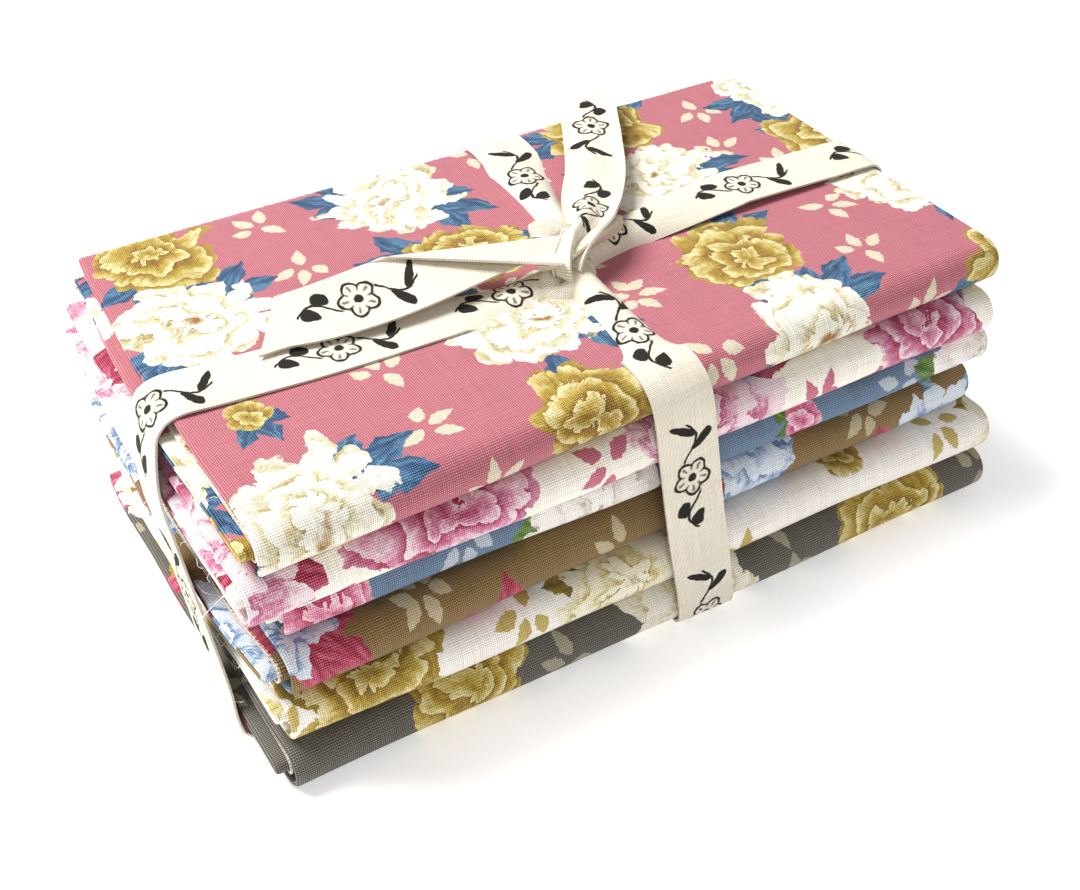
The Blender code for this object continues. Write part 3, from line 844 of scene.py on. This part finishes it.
# %% Colours, written as they look on a screen
def paint(red, green, blue):
    """A colour of 0 to 255 as the linear colour that a shader wants."""
    linear = [((c / 255 + 0.055) / 1.055) ** 2.4 if c > 10 else c / 255 / 12.92 for c in (red, green, blue)]
    return (*linear, 1.0)


def ramp(tree, factor, *colours, high=1.0):
    """A Color Ramp with its colours at even steps, from 0 to the high place."""
    node = tree.nodes.new("ShaderNodeValToRGB")
    stops = node.color_ramp.elements
    while len(stops) < len(colours):
        stops.new(0.5)
    for i, colour in enumerate(colours):
        stops[i].position = high * i / (len(colours) - 1)
        stops[i].color = paint(*colour)
    feed(tree, factor, node.inputs[0])
    return Signal(tree, node.outputs[0])


# %% The palettes of the six prints
PALETTES = {
    "packet_6_pink": dict(
        ground=(184, 108, 120), sprig=(214, 204, 180), leaf=((10, 44, 82), (28, 82, 122), (94, 142, 172)),
        rose=((92, 56, 4), (140, 102, 14), (178, 152, 52), (226, 216, 164)), size=1.0,
        peony=((132, 114, 46), (204, 192, 150), (238, 234, 220)), heart=(150, 104, 12), shift=(0.012, 0.020)),
    "packet_5_cream": dict(
        ground=(250, 244, 232), sprig=(200, 112, 138), leaf=((128, 12, 44), (166, 42, 80), (200, 110, 142)),
        rose=((132, 10, 44), (172, 60, 100), (208, 134, 164), (242, 222, 226)), size=1.28,
        peony=((150, 50, 92), (198, 116, 150), (238, 216, 222)), heart=(140, 12, 44), shift=(0.041, 0.018)),
    "packet_4_blue": dict(
        ground=(98, 124, 150), sprig=(180, 190, 198), leaf=((36, 74, 14), (76, 118, 28), (128, 158, 76)),
        rose=((140, 14, 56), (180, 56, 100), (214, 132, 162), (240, 214, 222)), size=1.0,
        peony=((150, 132, 124), (224, 214, 208), (244, 240, 236)), heart=(150, 94, 24), shift=(0.018, 0.047)),
    "packet_3_tan": dict(
        ground=(130, 104, 60), sprig=(188, 174, 142), leaf=((126, 10, 42), (166, 40, 76), (200, 104, 132)),
        rose=((24, 54, 104), (62, 100, 150), (126, 156, 190), (206, 216, 228)), size=1.0,
        peony=((44, 76, 126), (120, 150, 188), (214, 222, 230)), heart=(20, 44, 92), shift=(0.030, 0.031)),
    "packet_2_white": dict(
        ground=(250, 245, 238), sprig=(196, 176, 104), leaf=((96, 72, 8), (136, 112, 22), (180, 158, 66)),
        rose=((98, 68, 6), (144, 114, 18), (184, 158, 60), (232, 222, 172)), size=1.08,
        peony=((140, 116, 36), (212, 196, 130), (244, 237, 216)), heart=(112, 78, 8), shift=(0.005, 0.052)),
    "packet_1_grey": dict(
        ground=(98, 95, 88), sprig=(164, 158, 136), leaf=((138, 16, 60), (176, 56, 96), (210, 124, 152)),
        rose=((98, 66, 6), (148, 116, 22), (188, 164, 64), (230, 220, 172)), size=1.0,
        peony=((140, 120, 52), (216, 206, 168), (240, 234, 220)), heart=(148, 90, 12), shift=(0.048, 0.014)),
}
REPEAT = (60 * MM, 66 * MM, 1.0)     # the lattice of the biggest flowers
THREAD = 0.46 * MM
WEAVE_GAP_SHADE = 0.85                   # painted shade: how much darker the gaps between the threads are
THREAD_SHINE = 0.36                  # painted highlight: how much paler the tops of the threads are
RAW_EDGE = 0.7 * MM                  # how far the print is worn off along a raw edge
EDGE_COTTON = (240, 232, 218)        # the worn edge
REVERSE_COTTON = (240, 232, 222)     # the unprinted side
THREAD_HIGHLIGHT = (236, 228, 216)         # the painted highlight on the top of a thread
STREAKS = 0.54                       # how much one thread is darker than the next

# %% [markdown]
# One recipe prints all six cloths. From the ground up: pale sprays, then the leaves of
# each flower, then the flower itself. Between the peonies stand roses or, by chance,
# small buds. The brush noise is shared: it frays each outline a little and mottles the
# colours, as wet dye does on cotton.

# %% The recipe of the prints
def print_colours(tree, cloth, palette):
    """The printed colour at a place of the flat cloth, before the weave is seen."""
    brush = noise(tree, cloth, 430.0, 3.0, colour=True).vector('SUBTRACT', (0.5, 0.5, 0.5))
    drift = noise(tree, cloth, 75.0, 1.0, colour=True).vector('SUBTRACT', (0.5, 0.5, 0.5))
    mottle = noise(tree, cloth, 900.0, 2.0) - 0.5

    def cells(dx, dy, spin, jitter=4 * MM):
        own = (palette["shift"][0] + dx, palette["shift"][1] + dy, 0.0)
        return use_group(tree, lattice, V_cloth=cloth, V_pitch=REPEAT, V_shift=own, spin=spin, jitter=jitter)

    def leaf_fan(colour, place, at, long, wide, fan, many, gate=None, start=0.0,
                 tones=palette["leaf"], wobble=brush):
        reach, turn = at
        offset = (reach * math.cos(turn), reach * math.sin(turn), 0.0)
        spot = turned(tree, place.vector('SUBTRACT', offset), -turn)
        mask, tone = use_group(tree, leaves, V_place=spot, start=start, long=long, wide=wide, fan=fan,
                               many=many, V_wobble=wobble)
        if gate:
            mask = mask * gate
        return blend_colours(tree, mask, colour, ramp(tree, tone + mottle * 0.4, *tones))

    def flower(colour, place, radius, petals, rings, tones, paling, gate=None, heart=False, high=1.0):
        mask, tone, reach, middle = use_group(tree, bloom, V_place=place, radius=radius, petals=petals,
                                              rings=rings, V_wobble=brush, V_drift=drift)
        if gate:
            mask = mask * gate
        tone = tone * (1.0 - reach * paling) + reach * paling + mottle * 0.35
        colour = blend_colours(tree, mask, colour, ramp(tree, tone, *tones, high=high))
        return blend_colours(tree, mask * middle, colour, paint(*palette["heart"])) if heart else colour

    size = palette["size"]
    colour = paint(*palette["ground"])
    pale = (palette["sprig"], palette["sprig"])
    fine = brush.vector('SCALE', scale=0.25)
    for dx, dy, behind in ((30, 2, 0.0), (27, 25, 1.0), (33, 46, 0.0)):
        place, _ = cells(dx * MM, dy * MM, 5.6, 8 * MM)
        for back, turn, many in ((2.0, 0.0, 1.0), (2.4, 3.0, behind)):
            colour = leaf_fan(colour, place, (-back * MM, turn), 7.0 * MM, 3.7 * MM, 0.78, many,
                              start=3.2 * MM, tones=pale, wobble=fine)
    rose_place, chance = cells(0.0, 33 * MM, 6.2, 9 * MM)
    peony_place, _ = cells(0.0, 0.0, 6.2, 9 * MM)
    is_rose = chance.calc('GREATER_THAN', 0.40)
    is_bud = chance.calc('LESS_THAN', 0.40)
    colour = leaf_fan(colour, rose_place, (7 * MM, 0.5), 19 * MM * size, 10 * MM, 0.70, 1.0, is_rose)
    colour = leaf_fan(colour, rose_place, (8 * MM, 3.4), 15 * MM * size, 8.5 * MM, 0.8, 0.0, is_rose)
    colour = leaf_fan(colour, rose_place, (1 * MM, 2.6), 11 * MM, 6.0 * MM, 0.8, 1.0, is_bud)
    colour = leaf_fan(colour, peony_place, (8 * MM, 0.9), 20 * MM * size, 11 * MM, 0.62, 1.0)
    colour = leaf_fan(colour, peony_place, (9 * MM, 3.9), 17 * MM * size, 9 * MM, 0.75, 1.0)
    colour = flower(colour, rose_place, 6.0 * MM, 5.0, 1.7, palette["rose"], 0.45, is_bud)
    colour = flower(colour, rose_place, 17 * MM * size, 9.0, 3.4, palette["rose"], 0.36, is_rose)
    return flower(colour, peony_place, 19 * MM * size, 11.0, 3.0, palette["peony"], 0.18,
                  heart=True, high=0.60)


# %% The finish of a cloth: print, weave with painted shade and highlights, and the paler reverse
def cloth_map(tree):
    """The flat cloth's map, in metres."""
    node = tree.nodes.new("ShaderNodeUVMap")
    node.uv_map = "cloth"
    return Signal(tree, node.outputs[0])


def attribute(tree, name):
    """A number kept on the mesh."""
    node = tree.nodes.new("ShaderNodeAttribute")
    node.attribute_name = name
    return Signal(tree, node.outputs["Fac"])


def raw_edges(tree, cloth, colour):
    """The print rubbed off along the cut edges of the cloth, where the threads come loose."""
    u, v, _ = cloth.xyz()
    from_ends = u.calc('MINIMUM', u * -1.0 + CLOTH_LONG)
    from_sides = v.calc('MINIMUM', v * -1.0 + CLOTH_WIDE)
    uneven = (noise(tree, cloth, 1500.0) - 0.5) * 1.6 * MM
    edge_wear_and_thread_highlight = (uneven - from_ends.calc('MINIMUM', from_sides) + RAW_EDGE) * 2200.0
    return blend_colours(tree, edge_wear_and_thread_highlight.clamped() * 0.85, colour, paint(*EDGE_COTTON))


def cloth_finish(name, thread, colours, reverse_share, sheen, shine=THREAD_SHINE):
    """A cotton material coloured by the given function, with the weave's shade and highlights painted on."""
    material = bpy.data.materials.new(name)
    material.use_nodes = True
    tree = material.node_tree
    shader = tree.nodes["Principled BSDF"]
    cloth = cloth_map(tree)
    height, streak = use_group(tree, weave, V_cloth=cloth, thread=thread)
    colour = colours(tree, cloth)
    colour = blend_colours(tree, attribute(tree, "reverse") * reverse_share, colour, paint(*REVERSE_COTTON))
    # Painted highlight: the tops of the threads are made paler, as where light catches them
    edge_wear_and_thread_highlight = height.calc('POWER', 6.0) * shine
    colour = blend_colours(tree, edge_wear_and_thread_highlight, colour, paint(*THREAD_HIGHLIGHT))
    # Painted shade: the gaps between the threads are darkened, together with the real streaks of uneven dye
    light = height * WEAVE_GAP_SHADE + (streak - 0.5) * STREAKS + 1.0 - WEAVE_GAP_SHADE * 0.62
    shade = joined(tree, light, light, light)
    colour = blend_colours(tree, 1.0, colour, shade, 'MULTIPLY')
    feed(tree, colour, shader.inputs["Base Color"])
    bump = tree.nodes.new("ShaderNodeBump")
    bump.inputs["Strength"].default_value = 0.8
    bump.inputs["Distance"].default_value = 0.12 * MM
    feed(tree, height + streak * 0.6, bump.inputs["Height"])
    feed(tree, Signal(tree, bump.outputs[0]), shader.inputs["Normal"])
    feed(tree, height * -0.08 + 0.92, shader.inputs["Roughness"])
    shader.inputs["Specular IOR Level"].default_value = 0.10
    shader.inputs["Sheen Weight"].default_value = sheen
    shader.inputs["Sheen Roughness"].default_value = 0.6
    return material


for name, cloth in packets.items():
    palette = PALETTES[name]
    finish = cloth_finish("cotton_" + name[9:], THREAD,
                          lambda tree, flat, chosen=palette: raw_edges(
                              tree, flat, print_colours(tree, flat, chosen)), 0.55, 0.08)
    cloth.data.materials.append(finish)
    print(finish.name, "has", len(finish.node_tree.nodes), "nodes")


# %% [markdown]
# The tape is printed too, in black and on its outer face only. The print here is a plain
# garden border of this lesson's own: a small flower between two winding stems with
# leaves to both sides, then a bare length, and the same again.

# %% The tape's print and finish
SPRIG_HALF = 14.5 * MM      # from a flower to the tip of its stem
FLOWER_HALF = 7.0 * MM      # no leaf grows nearer to a flower
TAPE_INK = (12, 10, 10)


def tape_colours(tree, flat):
    """Natural cotton with a black border print on the outer face."""
    wobble = noise(tree, flat, 700.0, 2.0, colour=True).vector('SUBTRACT', (0.5, 0.5, 0.5))
    warm = noise(tree, flat, 60.0, 2.0)
    base = ramp(tree, warm, (233, 223, 203), (242, 236, 221))
    x, y, _ = flat.vector('ADD', wobble.vector('SCALE', scale=0.0007)).xyz()
    turns = y / TAPE_REPEAT
    aside = x - TAPE_WIDE / 2
    from_flower = (turns.calc('FRACT') - 0.5) * TAPE_REPEAT
    stem_at = (turns * (6 * math.pi)).calc('SINE') * 1.9 * MM
    stem = (aside - stem_at).size() * -4500.0 + 2.1
    stem = stem * (from_flower.size() * 900.0 - 3.6).clamped()
    stem = stem * from_flower.size().calc('LESS_THAN', SPRIG_HALF)
    ink = stem.clamped()
    for side in (1.0, -1.0):
        step = (turns * 6.0 + 0.25 * side).calc('FRACT') - 0.5
        out = (aside - stem_at) * side
        along = step * (TAPE_REPEAT / 6)
        lean = joined(tree, along * 0.72 - out * 0.69 + 1.9 * MM,
                      (out * 0.72 + along * 0.69 - 1.0 * MM) * 1.9)
        oval = lean.vector('LENGTH', out=1)
        leaf = ((oval * -1.0 + 2.75 * MM) * 3600.0).clamped()
        leaf_at = (from_flower - along).size()
        in_sprig = leaf_at.calc('LESS_THAN', SPRIG_HALF) * leaf_at.calc('GREATER_THAN', FLOWER_HALF)
        ink = ink.calc('MAXIMUM', leaf * in_sprig)
    theta = aside.calc('ARCTAN2', from_flower)
    r = joined(tree, aside, from_flower).vector('LENGTH', out=1)
    petal = (theta * 2.5).calc('COSINE').size() * 1.5 * MM + 3.1 * MM
    line = ((r - petal).size() * -4000.0 + 2.0).clamped()
    eye = ((r * -1.0 + 1.2 * MM) * 4000.0).clamped()
    rays = ((theta * 5.0).calc('COSINE').size() * 3.0 - 2.2).clamped()
    rays = rays * ((r - 3.0 * MM).size() * -2000.0 + 2.2).clamped()
    ink = ink.calc('MAXIMUM', line).calc('MAXIMUM', eye).calc('MAXIMUM', rays)
    ink = ink * (attribute(tree, "reverse") * -1.0 + 1.0)
    return blend_colours(tree, ink * 0.97, base, paint(*TAPE_INK))


tape.data.materials.clear()
tape.data.materials.append(cloth_finish("cotton_tape", 0.34 * MM, tape_colours, 0.2, 0.05, 0.04))

# %% [markdown]
# Cut cotton frays. A few loose threads stand out of the raw edges: short ones all along
# the left ends, and two long ones that the photograph shows too. Each is a thin tube with
# a wandering path. Its map lies off the cloth's edge, so it takes the worn edge's colour.

# %% Loose threads
dice = np.random.default_rng(11)
THREAD_RADIUS = 0.085 * MM
THREADS_A_PACKET = 15
THREAD_BENDS = 7
LONG_THREADS = {
    "packet_5_cream": ((-96.5, -46.0, 52.5), (-103.5, -47.0, 49.0), (-106.0, -43.5, 43.0)),
    "packet_3_tan": ((91.0, -44.0, 34.5), (98.0, -46.5, 36.5), (102.0, -45.0, 31.0), (98.5, -43.5, 27.0)),
}


def thread_tube(path):
    """A thin three-sided tube along a path, as an object with the cloth's map off the edge."""
    path = np.array(path)
    ahead = np.gradient(path, axis=0)
    ahead /= np.linalg.norm(ahead, axis=1)[:, None]
    aside = np.cross(ahead, (0.3, 0.2, 0.93))
    aside /= np.linalg.norm(aside, axis=1)[:, None]
    above = np.cross(aside, ahead)
    angles = np.radians((90, 210, 330, 450))
    ring = [path + THREAD_RADIUS * (math.cos(a) * aside + math.sin(a) * above) for a in angles]
    points = np.stack(ring, axis=1)
    mesh = grid_mesh("thread", points, np.full((*points.shape[:2], 2), -1 * MM))
    tube = bpy.data.objects.new("thread", mesh)
    bpy.context.scene.collection.objects.link(tube)
    return tube


def wandering(start, ahead, long):
    """A short thread's path: it leaves the edge and bends as it likes."""
    points = [np.array(start)]
    for _ in range(THREAD_BENDS):
        ahead = ahead + dice.normal(0.0, 0.42, 3)
        ahead = ahead / np.linalg.norm(ahead)
        points.append(points[-1] + ahead * long / THREAD_BENDS)
    return points


def through(places):
    """A smooth path through a few places in mm."""
    places = np.array(places) * MM
    share = np.linspace(0, len(places) - 1, 28)
    weights = [np.exp(-((share - i) / 0.55) ** 2) for i in range(len(places))]
    total = sum(weights)
    return sum(w[:, None] / total[:, None] * p for w, p in zip(weights, places))


bottom = 0.0
for level, (name, height, nose_l, nose_r, back, mid, front, further, right) in enumerate(PACKETS):
    tubes = []
    for _ in range(THREADS_A_PACKET):
        y = dice.uniform(nose_l + height / 2, BACK_EDGE / MM - 3)
        x = left_end(y * MM, dice.choice((0.0, 1.0)), (back * MM, mid * MM, front * MM), further * MM)
        z = (bottom + dice.uniform(0.15, 0.85) * height) * MM
        tubes.append(thread_tube(wandering((x + 0.5 * MM, y * MM, z), np.array((-1.0, 0.0, -0.3)),
                                           dice.uniform(1.2, 3.4) * MM)))
    if name in LONG_THREADS:
        tubes.append(thread_tube(through(LONG_THREADS[name])))
    select_only(packets[name], *tubes)
    bpy.ops.object.join()
    bottom += height
print("Each packet has", THREADS_A_PACKET, "short threads")

# %% Give each piece its place in the frame
for name, cloth in packets.items():
    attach(cloth, "root")
    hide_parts(name)
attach(tape, "root")
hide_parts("tape")

# %% [markdown]
# The floor and the light. The photograph is a product picture: everything round the
# bundle is white, the light is broad and soft and comes from above and behind on the
# left, and only a faint shadow lies at the front right. The floor glows a little, as an
# overlit white table does in such a picture.

# %% Floor
bpy.ops.object.select_all(action='DESELECT')
bpy.ops.mesh.primitive_plane_add(size=6.0, location=(0.0, 0.0, 0.0))
floor = bpy.context.active_object
floor.name = "floor"
white = bpy.data.materials.new("white_floor")
white.use_nodes = True
for title, value in (("Base Color", (0.93, 0.93, 0.93, 1.0)), ("Roughness", 0.9),
                     ("Emission Color", (1.0, 1.0, 1.0, 1.0)), ("Emission Strength", 0.3)):
    white.node_tree.nodes["Principled BSDF"].inputs[title].default_value = value
floor.data.materials.append(white)


# %% Lights
def lamp(name, place, target, size, watts):
    """A soft square light that looks at a point."""
    data = bpy.data.lights.new(name, 'AREA')
    data.size = size
    data.energy = watts
    thing = bpy.data.objects.new(name, data)
    bpy.context.scene.collection.objects.link(thing)
    thing.location = place
    ahead = np.array(target) - np.array(place)
    thing.rotation_euler = (math.atan2(float(np.hypot(ahead[0], ahead[1])), -ahead[2]), 0.0,
                            math.atan2(-ahead[0], ahead[1]))


lamp("key", (-0.55, 0.55, 1.25), (0.0, 0.0, 0.05), 0.7, 25.5)
lamp("fill", (-0.5, -1.2, 0.95), (0.0, 0.0, 0.05), 0.8, 5.4)
world = bpy.data.worlds.new("studio")
world.use_nodes = True
world.node_tree.nodes["Background"].inputs["Color"].default_value = (1.0, 1.0, 1.0, 1.0)
world.node_tree.nodes["Background"].inputs["Strength"].default_value = 0.28
bpy.context.scene.world = world
bpy.context.scene.view_settings.view_transform = 'Standard'
bpy.context.scene.view_settings.look = 'Medium High Contrast'
print("Lights and floor are in place")
